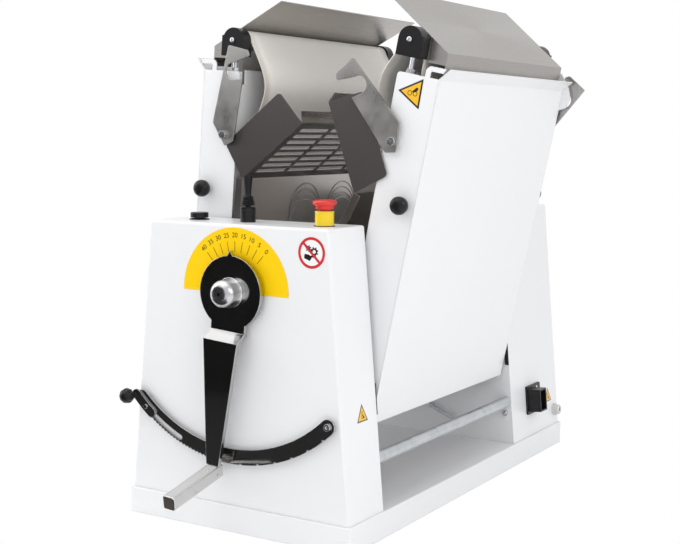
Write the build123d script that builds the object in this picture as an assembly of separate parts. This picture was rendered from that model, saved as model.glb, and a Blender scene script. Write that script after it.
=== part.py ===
from build123d import *
import os
from math import atan2, cos, degrees, hypot, radians, sin

# Bench dough sheeter with two folding conveyor tables, in millimetres.
# X is the direction the dough travels, Y runs along the rollers from the operator's housing (-Y) to the
# motor housing (+Y), Z is up. The origin is the centre of the plinth's underside.
# Both tables are drawn folded up, the left one pressed home and the right one leaning outward.

# ---- driving dimensions ------------------------------------------------------------------------------
plinth_x, plinth_y, plinth_z = 454.0, 900.0, 45.0
plinth_margin = 4.5          # step from the plinth's edge back to the housings
sheet = 2.0                  # sheet metal of the plinth, housings and tables
edge_round = 5.0             # folded outer edges

housing_foot_x, housing_top_x = 445.0, 358.0
housing_top_z = 518.5
front_depth, rear_depth = 111.5, 242.5

roller_r, roller_shaft_r = 30.0, 12.5
roller_end_gap = 4.5         # from a roller's end to the inner plate
lower_roller_z = 189.0
dough_gap = 20.0             # opening between the rollers as drawn
dough_gap_max = 40.0

hinge_x, hinge_z = 140.0, 196.5
left_tilt, right_tilt = -3.95, 11.6   # each table's lean away from the middle, in degrees
table_inner, table_outer = 23.0, 54.5  # side plate, either side of the hinge
table_v = 579.0              # side plate above the hinge
table_side_gap = 8.0         # from a side plate to the housing beside it
belt_w, belt_t = 480.0, 2.0
drive_r, end_r = 20.2, 16.2
end_u, end_v = -9.0, 631.5   # axis of the end roller
belt_bulge_u, belt_bulge_v = -62.0, 560.0

guard_pivot_x, guard_pivot_z = 83.0, 432.0
guard_arm, guard_plate, guard_cheek = 157.3, 157.0, 69.0
guard_bend = 47.3            # from the solid skirt to the slotted plate, in degrees
left_guard_angle, right_guard_angle = 94.85, 61.66
guard_sheet = 1.5

lever_z = 407.0
lever_tilt = 4.5
lever_r, lever_foot = 61.0, 289.0
lever_t = 8.0
lever_standoff, lever_joggle = 7.0, 19.0
quadrant_r, quadrant_w, quadrant_t = 275.0, 26.0, 4.0
lift_shaft_r = 10.0

running_gap = 0.05           # radial, shaft in bearing
free_gap = 0.3               # between parts that pass each other

# ---- places worked out from the driving dimensions ---------------------------------------------------
front_y = -plinth_y / 2 + plinth_margin
rear_y = plinth_y / 2 - plinth_margin
wall_t = 3.0                 # inner plates
gap_front = front_y + front_depth
gap_rear = rear_y - rear_depth
gap_mid = (gap_front + gap_rear) / 2
plate_front = gap_front + table_side_gap
plate_rear = gap_rear - table_side_gap
upper_roller_z = lower_roller_z + 2 * roller_r + dough_gap
controls_y = (front_y + gap_front) / 2


# ---- small builders ----------------------------------------------------------------------------------
def block(x, y, z):
    """Box between two values on each axis."""
    size = [hi - lo for lo, hi in (x, y, z)]
    mid = [(hi + lo) / 2 for lo, hi in (x, y, z)]
    return Pos(*mid) * Box(*size)


def slab(outline, y0, y1):
    """Outline drawn as (x, z) and carried along Y from y0 to y1."""
    return extrude(Plane.XZ.offset(-y1) * outline, y1 - y0)


def outline(*points):
    """Closed straight-sided outline, always drawn anticlockwise."""
    turn = sum(x0 * y1 - x1 * y0 for (x0, y0), (x1, y1) in zip(points, points[1:] + points[:1]))
    return Polygon(*[tuple(p) for p in (points if turn > 0 else points[::-1])], align=None)


def rod(r, x, z, y0, y1):
    """Round bar along Y."""
    return Pos(x, (y0 + y1) / 2, z) * Rot(90, 0, 0) * Cylinder(r, y1 - y0)


def at(x, y):
    """Move an outline within its drawing plane."""
    return Pos(x, y, 0)


def polar(r, angle):
    """Point at a radius and an angle from +X towards +Z."""
    return r * cos(radians(angle)), r * sin(radians(angle))


def make_strip(points, t):
    """Outline of a folded sheet of thickness t centred on a path, its corners mitred."""
    def side(sign):
        out = []
        for i, (x, y) in enumerate(points):
            before = points[max(i - 1, 0)]
            after = points[min(i + 1, len(points) - 1)]
            ins = (x - before[0], y - before[1]) if i else (after[0] - x, after[1] - y)
            outs = (after[0] - x, after[1] - y) if i < len(points) - 1 else ins
            ins = [c / hypot(*ins) for c in ins]
            outs = [c / hypot(*outs) for c in outs]
            nx, ny = -(ins[1] + outs[1]), ins[0] + outs[0]
            scale = sign * t / (1 + ins[0] * outs[0] + ins[1] * outs[1])
            out.append((x + nx * scale, y + ny * scale))
        return out
    return outline(*side(0.5), *reversed(side(-0.5)))


def save(name, shape):
    """Write one node, its separate pieces as one group of solids."""
    solids = [piece for item in (shape if isinstance(shape, list) else [shape]) for piece in item.solids()]
    export_step(solids[0] if len(solids) == 1 else Compound(children=solids), f"parts/{name}.step")


os.makedirs("parts", exist_ok=True)


# ---- plinth and housings -----------------------------------------------------------------------------
def plinth():
    body = block((-plinth_x / 2, plinth_x / 2), (-plinth_y / 2, plinth_y / 2), (0, plinth_z))
    body = fillet(body.edges().filter_by(Axis.Z), edge_round)
    body = fillet(body.faces().sort_by(Axis.Z)[-1].edges(), 2.5)
    inside = block((-plinth_x / 2 + sheet, plinth_x / 2 - sheet),
                   (-plinth_y / 2 + sheet, plinth_y / 2 - sheet), (0, plinth_z - sheet))
    return body - fillet(inside.edges().filter_by(Axis.Z), edge_round - sheet)


def plinth_bottom():
    floor = block((-plinth_x / 2 + sheet, plinth_x / 2 - sheet),
                  (-plinth_y / 2 + sheet, plinth_y / 2 - sheet), (0, sheet))
    return fillet(floor.edges().filter_by(Axis.Z), edge_round - sheet)


def trapezoid(inset):
    foot, top = housing_foot_x / 2 - inset, housing_top_x / 2 - inset
    height = housing_top_z - inset
    return outline((-foot, plinth_z), (foot, plinth_z), (top, height), (-top, height))


def housing(outer_y, inner_y):
    """Folded shell, open towards the rollers and at the plinth."""
    y0, y1 = sorted((outer_y, inner_y))
    body = slab(trapezoid(0), y0, y1)
    along = body.edges().filter_by(Axis.Y).group_by(Axis.Z)[-1]
    face = body.faces().filter_by(Axis.Y).sort_by(Axis.Y)[0 if outer_y < inner_y else -1]
    rounded = face.edges().filter_by(lambda e: e.center().Z > plinth_z + 1)
    body = fillet(along + rounded, edge_round)
    inward = sheet if outer_y < inner_y else -sheet
    hollow = slab(trapezoid(sheet), *sorted((outer_y + inward, inner_y + inward)))
    return body - hollow


def front_housing():
    body = housing(front_y, gap_front)
    body -= rod(lift_shaft_r + running_gap, 0, lever_z, front_y - 1, front_y + 10)
    for x, r in ((estop_x, estop_neck_r), (joystick_x, joystick_neck_r), (cap_x, cap_stem_r + free_gap)):
        body -= Pos(x, controls_y, housing_top_z) * Cylinder(r, 30)
    return body


def rear_housing():
    body = housing(rear_y, gap_rear)
    body -= block((100, 300), (inlet_y - 24, inlet_y + 24), (inlet_z - 20, inlet_z + 20))
    return body - on_side(gland_y, gland_z, Cylinder(gland_stem_r + running_gap, 30))


def housing_side_x(z):
    share = (z - plinth_z) / (housing_top_z - plinth_z)
    return (housing_foot_x + (housing_top_x - housing_foot_x) * share) / 2


housing_lean = degrees(atan2((housing_foot_x - housing_top_x) / 2, housing_top_z - plinth_z))


def bearing_holes():
    """Everything that passes through an inner plate, along the whole gap."""
    y0, y1 = gap_front - 60, gap_rear + 60
    cut = rod(roller_shaft_r + running_gap, 0, lower_roller_z, y0, y1)
    cut += rod(lift_shaft_r + running_gap, 0, lever_z, y0, y1)
    shaft_way = roller_shaft_r + 1.0
    low, high = upper_roller_z - dough_gap, upper_roller_z + dough_gap_max - dough_gap
    cut += rod(shaft_way, 0, low, y0, y1) + rod(shaft_way, 0, high, y0, y1)
    cut += block((-shaft_way, shaft_way), (y0, y1), (low, high))
    for side in (-1, 1):
        cut += rod(drive_shaft_r + 1.0, side * hinge_x, hinge_z, y0, y1)
        cut += rod(guard_shaft_r + running_gap, side * guard_pivot_x, guard_pivot_z, y0, y1)
    return cut


block_half, block_h, block_t = 30.0, 56.0, 24.0
rail_w = 8.0
boss_r, boss_l = 28.0, 15.0
drive_shaft_r, sprocket_r = 8.0, 30.0
guard_shaft_r = 7.0


def inner_plate(face, direction):
    """Bearing plate closing a housing; direction points from the rollers into the housing."""
    inner, outer = sorted((face, face + direction * wall_t))
    body = slab(trapezoid(sheet), inner, outer)
    back = face + direction * wall_t
    body += rod(boss_r, 0, lower_roller_z, *sorted((back, back + direction * boss_l)))
    low = upper_roller_z - dough_gap - block_h / 2
    high = upper_roller_z + dough_gap_max - dough_gap + block_h / 2
    for side in (-1, 1):
        near = side * (block_half + free_gap)
        depth = sorted((back, back + direction * block_t))
        body += block(sorted((near, near + side * rail_w)), depth, (low, high))
    return body - bearing_holes()


# ---- pieces between the housings ---------------------------------------------------------------------
tube_r, tube_z = 10.5, 130.5
tube_x = housing_side_x(tube_z) - tube_r - 0.145   # just inside the housings' folded edge


def cross_tubes():
    tubes = []
    for side in (-1, 1):
        tube = rod(tube_r, side * tube_x, tube_z, gap_front, gap_rear)
        tubes.append(tube - rod(tube_r - 2, side * tube_x, tube_z, gap_front, gap_rear))
    return tubes


pad_low, pad_high, pad_w, pad_t = 206.0, 258.0, 7.0, 3.0


def edge_pads():
    """Rubber buffers clipped over the inner edges of the housings."""
    pads = []
    for side in (-1, 1):
        for face, inward in ((gap_front, 1), (gap_rear, -1)):
            low_x, high_x = housing_side_x(pad_low), housing_side_x(pad_high)
            shape = outline((low_x - pad_w, pad_low), (low_x, pad_low),
                            (high_x, pad_high), (high_x - pad_w, pad_high))
            pad = slab(shape, *sorted((face, face + inward * pad_t)))
            pads.append(pad if side > 0 else mirror(pad, about=Plane.YZ))
    return pads


bush_r, bush_l = 15.0, 11.5


def hinge_bushes():
    """Fixed flanged bushes that carry the tables; the drive shafts turn inside them."""
    bushes = []
    for side in (-1, 1):
        for face, inward in ((gap_front, 1), (gap_rear, -1)):
            body = rod(bush_r, side * hinge_x, hinge_z, *sorted((face, face + inward * bush_l)))
            flange_y = sorted((face, face + inward * (table_side_gap - free_gap)))
            body += rod(bush_r + 4, side * hinge_x, hinge_z, *flange_y)
            bore_y = sorted((face - inward, face + inward * (bush_l + 1)))
            bushes.append(body - rod(drive_shaft_r + running_gap, side * hinge_x, hinge_z, *bore_y))
    return bushes


def transfer_plates():
    """Bridges between the lower roller and each table's belt."""
    plates = []
    top = lower_roller_z + roller_r - 1.0
    for side in (-1, 1):
        near, far = roller_r + 2.5, hinge_x - drive_r - belt_t - 6.5
        shape = make_strip([(near, top - 11), (near + 6, top - sheet / 2), (far, top - sheet / 2),
                            (far, top - 26)], sheet)
        plate = slab(shape, gap_front, gap_rear)
        plates.append(plate if side > 0 else mirror(plate, about=Plane.YZ))
    return plates


spring_eyes = ((39.0, 105.0), (98.0, 81.0))
spring_r, spring_wire, spring_y = 5.0, 1.2, gap_rear - 12.0


def scraper_spring():
    """Closed-wound tension spring with an eye at each end, hung on pegs of the rear inner plate."""
    (x0, z0), (x1, z1) = spring_eyes
    length = hypot(x1 - x0, z1 - z0)
    coil = length - 2 * spring_r
    body = Cylinder(spring_r, coil) - Cylinder(spring_r - 2 * spring_wire, coil)
    for end in (-1, 1):
        body += Pos(0, 0, end * length / 2) * Rot(90, 0, 0) * Torus(spring_r, spring_wire)
    for end in (-1, 1):
        body -= Pos(0, 0, end * length / 2) * Rot(90, 0, 0) * Cylinder(spring_r - spring_wire, 20)
    return Pos((x0 + x1) / 2, spring_y, (z0 + z1) / 2) * Rot(0, degrees(atan2(x1 - x0, z1 - z0)), 0) * body


def drive_motor():
    """Motor with its gearbox inside the rear housing."""
    x, z = -90, 118
    shell = rod(62, x, z, gap_rear + 60, gap_rear + 205)
    box = block((x - 65, x + 65), (gap_rear + 22, gap_rear + 60), (60, 180))
    shaft = rod(11, x, z, gap_rear + wall_t, gap_rear + 22)
    feet = block((x - 60, x + 60), (gap_rear + 70, gap_rear + 190), (plinth_z, 64))
    return shell + box + shaft + feet


# ---- dial, quadrant and thickness lever --------------------------------------------------------------
dial_r, dial_inner, dial_t = 106.0, 56.0, 0.8
lever_face = front_y - lever_standoff - lever_t
arm_face = lever_face - lever_joggle
quadrant_face = front_y - quadrant_t - 6.0


def dial_plate():
    ring = at(0, lever_z) * (Circle(dial_r) - Circle(dial_inner))
    half = ring & (at(0, lever_z + dial_r / 2) * Rectangle(3 * dial_r, dial_r + 4))
    return slab(half, front_y - dial_t, front_y)


quadrant_left, quadrant_right = 44.3, 42.9   # end centres, degrees either side of straight down
slot_from, slot_to = 22.9, 41.4
slot_r, slot_w = 279.0, 8.0
teeth_from, teeth_to = 5.0, 43.0
tooth_pitch, tooth_w, notch_pitch = 1.42, 5.2, 7.0


def below(r, angle):
    """Point on the dial's face at an angle from straight down, positive towards +X."""
    return r * sin(radians(angle)), -r * cos(radians(angle))


def arc_band(r, w, a0, a1):
    """Round-ended band about the dial's centre."""
    mid = (a0 + a1) / 2
    path = ThreePointArc(below(r, a0), below(r, mid), below(r, a1))
    inner = ThreePointArc(below(r - w / 2, a0), below(r - w / 2, mid), below(r - w / 2, a1))
    outer = ThreePointArc(below(r + w / 2, a0), below(r + w / 2, mid), below(r + w / 2, a1))
    band = make_face([inner, outer, Line(inner @ 0, outer @ 0), Line(inner @ 1, outer @ 1)])
    return band + [at((path @ i).X, (path @ i).Y) * Circle(w / 2) for i in (0, 1)]


def quadrant():
    band = arc_band(quadrant_r, quadrant_w, -quadrant_left, quadrant_right)
    teeth = []
    fine = [-teeth_to + tooth_pitch * i for i in range(int((teeth_to - teeth_from) / tooth_pitch) + 1)]
    coarse = [notch_pitch * (i + 0.5) for i in range(int(quadrant_right / notch_pitch))]
    for angle in fine + coarse:
        spot = below(quadrant_r + quadrant_w / 2 + 1, angle)
        teeth.append(at(*spot) * Rot(0, 0, angle + 45) * Rectangle(tooth_w, tooth_w))
    band -= teeth
    band -= arc_band(slot_r, slot_w, -slot_to, -slot_from)
    band -= [at(*below(quadrant_r, a)) * Circle(3.0) for a in quadrant_bolt_angles]
    return slab(at(0, lever_z) * band, quadrant_face, quadrant_face + quadrant_t)


quadrant_bolt_angles = (quadrant_right, -quadrant_left)


def frame_fasteners():
    """Quadrant bolts with their spacers, inner-plate screws and the scraper spring's pegs.

    The quadrant's left bolt is flush, so the stop arm can slide over it.
    """
    pieces = []
    for angle in quadrant_bolt_angles:
        x, z = below(quadrant_r, angle)
        z += lever_z
        bolt = rod(8, x, z, quadrant_face + quadrant_t, front_y) + rod(3, x, z, quadrant_face, front_y)
        if angle > 0:
            bolt += rod(6, x, z, quadrant_face - 3.4, quadrant_face)
            bolt -= rod(2.2, x, z, quadrant_face - 4, quadrant_face - 1.6)
        pieces.append(bolt)
    for x, z in spring_eyes:
        pieces.append(rod(spring_r - spring_wire - 0.05, x, z, spring_y - 4, gap_rear))
    for side in (-1, 1):
        for face, inward in ((gap_front, 1), (gap_rear, -1)):
            head = slab(at(side * 203, 107) * RegularPolygon(6, 6), *sorted((face, face + inward * 5)))
            pieces.append(head + rod(3, side * 203, 107, *sorted((face + inward * 5, face + inward * 8))))
    return pieces


def lever():
    """One cut and joggled plate: disc with a pointer, neck and tapering arm."""
    neck, arm_top, ankle, foot = 34.0, 80.0, 14.0, 12.0
    right = [(neck, 0), (neck, -arm_top), (ankle, 16 - lever_foot), (foot, -lever_foot)]
    shape = Circle(lever_r) + outline(*right, *[(-x, y) for x, y in reversed(right)])
    shape += Rot(0, 0, lever_tilt) * outline((-6, lever_r - 1.5), (6, lever_r - 1.5), (0, lever_r + 8))
    front = slab(shape, arm_face - 1, front_y)
    back_upper, back_lower = lever_face + lever_t, arm_face + lever_t
    step_top, step_low = -68.0, -82.0
    rise = lever_t * 0.45
    side = [(back_upper, 80), (back_upper, step_top), (back_lower, step_low), (back_lower, -lever_foot),
            (arm_face, -lever_foot), (arm_face, step_low + rise), (lever_face, step_top + rise),
            (lever_face, 80)]
    profile = extrude(Plane.YZ.offset(-100) * outline(*side), 200)
    plate = (front & profile) - rod(lift_shaft_r, 0, 0, arm_face, front_y)
    return turned_lever(plate)


def turned_lever(shape):
    """From the lever's own frame, arm straight down, to its place."""
    return Pos(0, 0, lever_z) * Rot(0, lever_tilt, 0) * shape


handle_x, handle_h, handle_l, handle_drop = 23.0, 24.0, 129.0, 13.0


def lever_handle():
    bar = Box(handle_x, handle_l, handle_h)
    bar = fillet(bar.edges().filter_by(Axis.Y), 4)
    bar = fillet(bar.faces().sort_by(Axis.Y)[0].edges(), 2)
    bar -= Pos(0, handle_l / 2 - 14, -2) * Rot(0, 90, 0) * Cylinder(1.6, handle_x + 2)
    middle_y = arm_face + 15.5 - handle_l / 2 * cos(radians(handle_drop))
    middle_z = -(lever_foot + 9) - handle_l / 2 * sin(radians(handle_drop))
    bar = Pos(0, middle_y, middle_z) * Rot(handle_drop, 0, 0) * bar
    clear = block((-40, 40), (arm_face, arm_face + lever_t), (-lever_foot, 0))
    return turned_lever(bar - clear)


hub_r, hub_l = 23.0, 31.0
cam_r, cam_throw, cam_t = 21.0, 10.0, 20.0


def lift_shaft():
    """Domed hub, cross shaft and the two eccentrics that set the upper roller's height."""
    hub = rod(hub_r, 0, lever_z, lever_face - hub_l, lever_face)
    hub = fillet(hub.faces().sort_by(Axis.Y)[0].edges(), 13)
    shaft = rod(lift_shaft_r, 0, lever_z, lever_face, gap_rear + 34)
    body = hub + shaft
    for y in (gap_front - wall_t - 6 - cam_t, gap_rear + wall_t + 6):
        body += rod(cam_r, 0, lever_z - cam_throw, y, y + cam_t)
    return body


stop_from, stop_to, stop_t = 37.5, 46.5, 3.0


def quadrant_stop():
    """Arm that slides along the quadrant's slot."""
    y0 = quadrant_face - free_gap - stop_t
    arm = slab(at(0, lever_z) * arc_band(slot_r, 17, -stop_to, -stop_from), y0, y0 + stop_t)
    x, z = below(slot_r, -(slot_to - 0.8))
    return arm + rod(3.5, x, z + lever_z, y0 - 2, quadrant_face + quadrant_t - 0.5)


def stop_knob():
    """Ball knob threaded on the stop arm's end, clear of the quadrant."""
    x, z = below(296.9, -48.3)
    ball = Pos(x, quadrant_face - 3.5, z + lever_z) * Sphere(13.5)
    swept = arc_band(quadrant_r, quadrant_w + 1, -60, 0)
    ball -= slab(at(0, lever_z) * swept, quadrant_face - free_gap, front_y)
    return ball - quadrant_stop()


# ---- roller carriage and main rollers ----------------------------------------------------------------
def bearing_blocks():
    blocks = []
    for direction, face in ((-1, gap_front), (1, gap_rear)):
        near = face + direction * (wall_t + free_gap)
        far = near + direction * (block_t - 1)
        low, high = upper_roller_z - block_h / 2, upper_roller_z + block_h / 2
        body = block((-block_half, block_half), sorted((near, far)), (low, high))
        body += block((-7, 7), sorted((near + direction * 6, far)), (high, lever_z - cam_r - cam_throw - 26))
        blocks.append(body - rod(roller_shaft_r + running_gap, 0, upper_roller_z, near - 50, near + 50))
    return blocks


def upper_scraper():
    """Two end plates on the roller's journals and the folded blade over them."""
    ends = []
    y_front, y_rear = gap_front + 0.8, gap_rear - 0.8
    for y0, y1 in ((y_front, y_front + 2.5), (y_rear - 2.5, y_rear)):
        shape = Circle(20) + outline((-20, 0), (20, 0), (25, 40), (-25, 40))
        shape -= Circle(roller_shaft_r + free_gap)
        ends.append(slab(at(0, upper_roller_z) * shape, y0, y1))
    hood = make_strip([(-23.5, 22), (-25, 39), (25, 39), (23.5, 22)], sheet)
    return ends[0] + ends[1] + slab(at(0, upper_roller_z) * hood, y_front, y_rear)


def main_roller(z, y_front, y_rear):
    body = rod(roller_r, 0, z, gap_front + roller_end_gap, gap_rear - roller_end_gap)
    return body + rod(roller_shaft_r, 0, z, y_front, y_rear)


# ---- controls on the housing -------------------------------------------------------------------------
estop_x, estop_neck_r = 137.7, 12.0
joystick_x, joystick_neck_r = -13.9, 12.0
cap_x, cap_r, cap_stem_r = -116.2, 15.5, 8.0


def on_top(x, z0, z1, r):
    return Pos(x, controls_y, (z0 + z1) / 2) * Cylinder(r, z1 - z0)


def estop_base():
    top = housing_top_z
    body = on_top(estop_x, top, top + 24.5, 15.5) + on_top(estop_x, top - 28, top, estop_neck_r)
    return body - on_top(estop_x, top - 8, top + 25, 9 + free_gap)


def estop_head():
    top = housing_top_z
    cap = on_top(estop_x, top + 33.5, top + 43, 20)
    cap = fillet(cap.edges(), 3.5)
    return cap + on_top(estop_x, top + 28, top + 36, 15) + on_top(estop_x, top, top + 30, 9)


def joystick_collar():
    top = housing_top_z
    body = on_top(joystick_x, top, top + 25, 13) + on_top(joystick_x, top - 20, top, joystick_neck_r)
    return body - on_top(joystick_x, top - 2, top + 26, 10.5)


joystick_pivot = housing_top_z + 14


def joystick():
    """Stick on a ball, with the ribbed boot that tilts with it."""
    pieces = Pos(joystick_x, controls_y, joystick_pivot) * Sphere(9)
    foot = housing_top_z + 27.5
    for i, r in enumerate((11.0, 12.0, 10.5, 11.0, 9.5, 9.0)):
        pieces += on_top(joystick_x, foot + 2.6 * i, foot + 2.6 * (i + 1), r)
    pieces += on_top(joystick_x, joystick_pivot, foot + 20, 5)
    handle = Pos(joystick_x, controls_y, foot + 34) * Cone(6, 8.2, 36)
    return pieces + fillet(handle.faces().sort_by(Axis.Z)[-1].edges(), 2.5)


def button_cap():
    top = housing_top_z
    cap = on_top(cap_x, top + 3.5, top + 12.5, cap_r)
    return fillet(cap.faces().sort_by(Axis.Z)[-1].edges(), 2) + on_top(cap_x, top - 12, top + 4, cap_stem_r)


inlet_y, inlet_z = 310.5, 119.5
inlet_w, inlet_h = 69.0, 59.0
shroud_y, shroud_w, shroud_h, shroud_l = -14.0, 33.0, 46.0, 31.0
gland_y, gland_z, gland_r = 421.0, 76.0, 13.0
gland_stem_r, cable_r = 8.0, 4.5


def on_side(y, z, shape):
    """Set a shape built about +Z onto the housing's sloping right side."""
    return Pos(housing_side_x(z), y, z) * Rot(0, 90 - housing_lean, 0) * shape


def power_inlet():
    """Flanged appliance inlet: square flange, deep shroud open to the side, three blades."""
    flange = Pos(0, 0, 2) * Box(inlet_h, inlet_w, 4)
    flange = fillet(flange.edges().filter_by(Axis.Z), 3)
    flange -= [Pos(x, 16, 0) * Cylinder(1.8, 20) for x in (-22, 22)]
    shroud = Box(shroud_h, shroud_w, shroud_l) - Pos(0, 0, 5) * Box(shroud_h - 6, shroud_w - 6, shroud_l)
    body = flange + Pos(0, shroud_y, shroud_l / 2) * shroud
    for x, y in ((-8, 0), (6, -7), (6, 7)):
        body += Pos(x, shroud_y + y, 12) * Box(7, 2, 18)
    return on_side(inlet_y, inlet_z, body)


def cable_gland():
    nut = extrude(RegularPolygon(gland_r, 6), 6)
    dome = Pos(0, 0, 10) * Cylinder(gland_r - 2.5, 9)
    dome = fillet(dome.faces().sort_by(Axis.Z)[-1].edges(), 3)
    stem = Pos(0, 0, -6) * Cylinder(gland_stem_r, 12)
    return on_side(gland_y, gland_z, nut + dome + stem - Cylinder(cable_r, 60))


# ---- guards ------------------------------------------------------------------------------------------
slot_rows, slot_columns = 8, 5


def guard(angle):
    """Folded guard on the right-hand side, its skirt rising from the pivot at the given angle."""
    y0, y1 = gap_front + 4, gap_rear - 4
    start = polar(guard_shaft_r - 0.5, angle)
    corner = polar(guard_arm, angle)
    along = angle + guard_bend
    tip = [c + d for c, d in zip(corner, polar(guard_plate, along))]
    lip = [c + d for c, d in zip(tip, polar(20, along - 57))]
    body = slab(make_strip([start, corner, tip, lip], guard_sheet), y0, y1)
    body += guard_cheeks(angle, corner, along, y0, y1)
    body -= guard_slots(corner, along, y0, y1)
    body -= rod(guard_shaft_r, 0, 0, y0, y1)
    return Pos(guard_pivot_x, 0, guard_pivot_z) * body


def guard_cheeks(angle, corner, along, y0, y1):
    """End walls of the slotted plate and the narrow flanges that run on down the skirt."""
    out = along - 90
    ends = [corner, [c + d for c, d in zip(corner, polar(guard_plate, along))]]
    top = [c + d for c, d in zip(ends[1], polar(guard_cheek, out - 4))]
    low = [c + d for c, d in zip(ends[0], polar(guard_cheek, out + 7))]
    cheek = outline(ends[0], ends[1], top, low)
    bent = [v for v in cheek.vertices() if min(hypot(v.X - x, v.Y - y) for x, y in ends) > 1]
    cheek = fillet(bent, 8)
    foot = polar(20, angle)
    side = polar(12, angle - 90)
    flange = outline(foot, corner, [c + d for c, d in zip(corner, side)], [c + d for c, d in zip(foot, side)])
    wall = cheek + flange
    return slab(wall, y0, y0 + guard_sheet) + slab(wall, y1 - guard_sheet, y1)


def guard_slots(corner, along, y0, y1):
    pitch_y = (y1 - y0 - 30) / slot_columns
    long, wide = pitch_y - 9, 9.0
    first, pitch = 22.0, 16.4
    cuts = []
    for row in range(slot_rows):
        spot = [c + d for c, d in zip(corner, polar(first + pitch * row, along))]
        for column in range(slot_columns):
            y = y0 + 15 + pitch_y * (column + 0.5)
            cut = Box(wide, long, 8)
            cuts.append(Pos(spot[0], y, spot[1]) * Rot(0, -along, 0) * cut)
    return cuts


def guard_shaft():
    return rod(guard_shaft_r, guard_pivot_x, guard_pivot_z, gap_front - wall_t, gap_rear + wall_t)


# ---- tables, drawn upright about their hinge on the right-hand side ----------------------------------
panel_u = table_outer - sheet
front_plate_y = (plate_front, plate_front + sheet)
rear_plate_y = (plate_rear - sheet, plate_rear)
belt_y = (gap_mid - belt_w / 2, gap_mid + belt_w / 2)
roller_y = (belt_y[0] - 3, belt_y[1] + 3)
knob_u, knob_v, knob_r = 34.0, 371.5, 15.0
pivot_u, pivot_v, pivot_r = -3.5, 468.5, 4.0


def side_plates():
    """Both long side plates: straight sides, rounded about the hinge, with a tab for the pan."""
    foot = 8.0
    plain = outline((-table_inner, 0), (0, -table_inner), (40, -table_inner), (panel_u, -foot),
                    (panel_u, table_v), (-table_inner, table_v))
    plain = fillet(plain.vertices().group_by(Axis.Y)[-1].sort_by(Axis.X)[0], 6) + Circle(table_inner)
    front_tab = outline((27, table_v - 2), (27, table_v + 18), (62, table_v + 18), (58, table_v + 10),
                        (36, table_v + 10), (36, table_v - 2))
    front_tab = fillet(front_tab.vertices().filter_by(lambda v: v.X < 30 and v.Y > table_v + 12), 10)
    front_tab = fillet(front_tab.vertices().filter_by(lambda v: 35 < v.X < 37 and v.Y > table_v + 8), 3)
    rear_tab = outline((panel_u - 4, table_v - 48), (panel_u + 2, table_v - 39), (68, table_v - 32),
                       (73, table_v - 12), (66, table_v + 5), (44, table_v + 33), (36, table_v + 27),
                       (40, table_v - 12), (panel_u - 4, table_v - 20))
    rear_tab = fillet(rear_tab.vertices().filter_by(lambda v: v.X > 60 or v.Y > table_v + 30), 6)
    hole = Circle(bush_r + running_gap)
    front = slab(plain + front_tab - hole, *front_plate_y)
    rear = slab(plain + rear_tab - hole, *rear_plate_y)
    for y in ((front_plate_y[1], front_plate_y[1] + 16), (rear_plate_y[0] - 16, rear_plate_y[0])):
        ear = block((screw_u - 10.5, screw_u + 9.5), y, (table_v - 15, table_v))
        ear -= Pos(screw_u, sum(y) / 2, table_v) * Cylinder(screw_r, 60)
        if y[0] < 0:
            front += ear
        else:
            rear += ear
    return [front, rear]


screw_r, screw_u = 4.0, -5.5


def table_panel():
    """Outer panel with the lip that carries the pan."""
    middle = table_outer - sheet / 2
    strip = make_strip([(middle, 0), (middle, table_v), (70, table_v + 18.5)], sheet)
    return slab(strip, plate_front, plate_rear) - side_plates()


def slider_bed():
    """Plate behind the belt's working side, with a narrower tongue reaching the end roller."""
    u = (-drive_r + 0.7, -drive_r + 0.7 + sheet)
    wide = block(u, (front_plate_y[1], rear_plate_y[0]), (48, table_v - 22))
    return wide + block(u, (belt_y[0] + 0.5, belt_y[1] - 0.5), (48, table_v + 3))


def belt_side(offset):
    """Closed belt line: round the drive roller, straight back, round the end roller, slack on the inside."""
    rd, re = drive_r + offset, end_r + offset
    bottom = ThreePointArc((-rd, 0), (0, -rd), (rd, 0))
    back = Line(bottom @ 1, (end_u + re, end_v))
    top = ThreePointArc(back @ 1, (end_u, end_v + re), (end_u - re * 0.9, end_v + re * 0.436))
    taut = Line((-rd, table_v * 0.55), bottom @ 0)
    slack = Spline(top @ 1, (belt_bulge_u - offset, belt_bulge_v), (-43 - offset, 487), (-26 - offset, 430),
                   (-rd - 1.5, 385), taut @ 0, tangents=[(-0.9, -1.86), (0, -1)])
    return make_face([bottom, back, top, slack, taut])


def belt():
    return slab(belt_side(free_gap + belt_t) - belt_side(free_gap), *belt_y)


def drive_roller():
    body = rod(drive_r, 0, 0, *roller_y)
    body += rod(drive_shaft_r, 0, 0, gap_front - 26, gap_rear + 27)
    return body + rod(sprocket_r, 0, 0, gap_rear + 14, gap_rear + 20)


end_shaft_r, end_play = 6.0, 1.0
cap_half, cap_depth = 21.5, 23.5
cap_space, cap_wall = 2.5, 5.0   # from the inner plates to the caps, and the caps' closed ends


def end_roller():
    body = rod(end_r, end_u, end_v, belt_y[0] + 1, belt_y[1] - 1)
    reach = cap_space + cap_wall + end_play
    return body + rod(end_shaft_r, end_u, end_v, gap_front + reach, gap_rear - reach)


cap_low = 606.5


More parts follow.
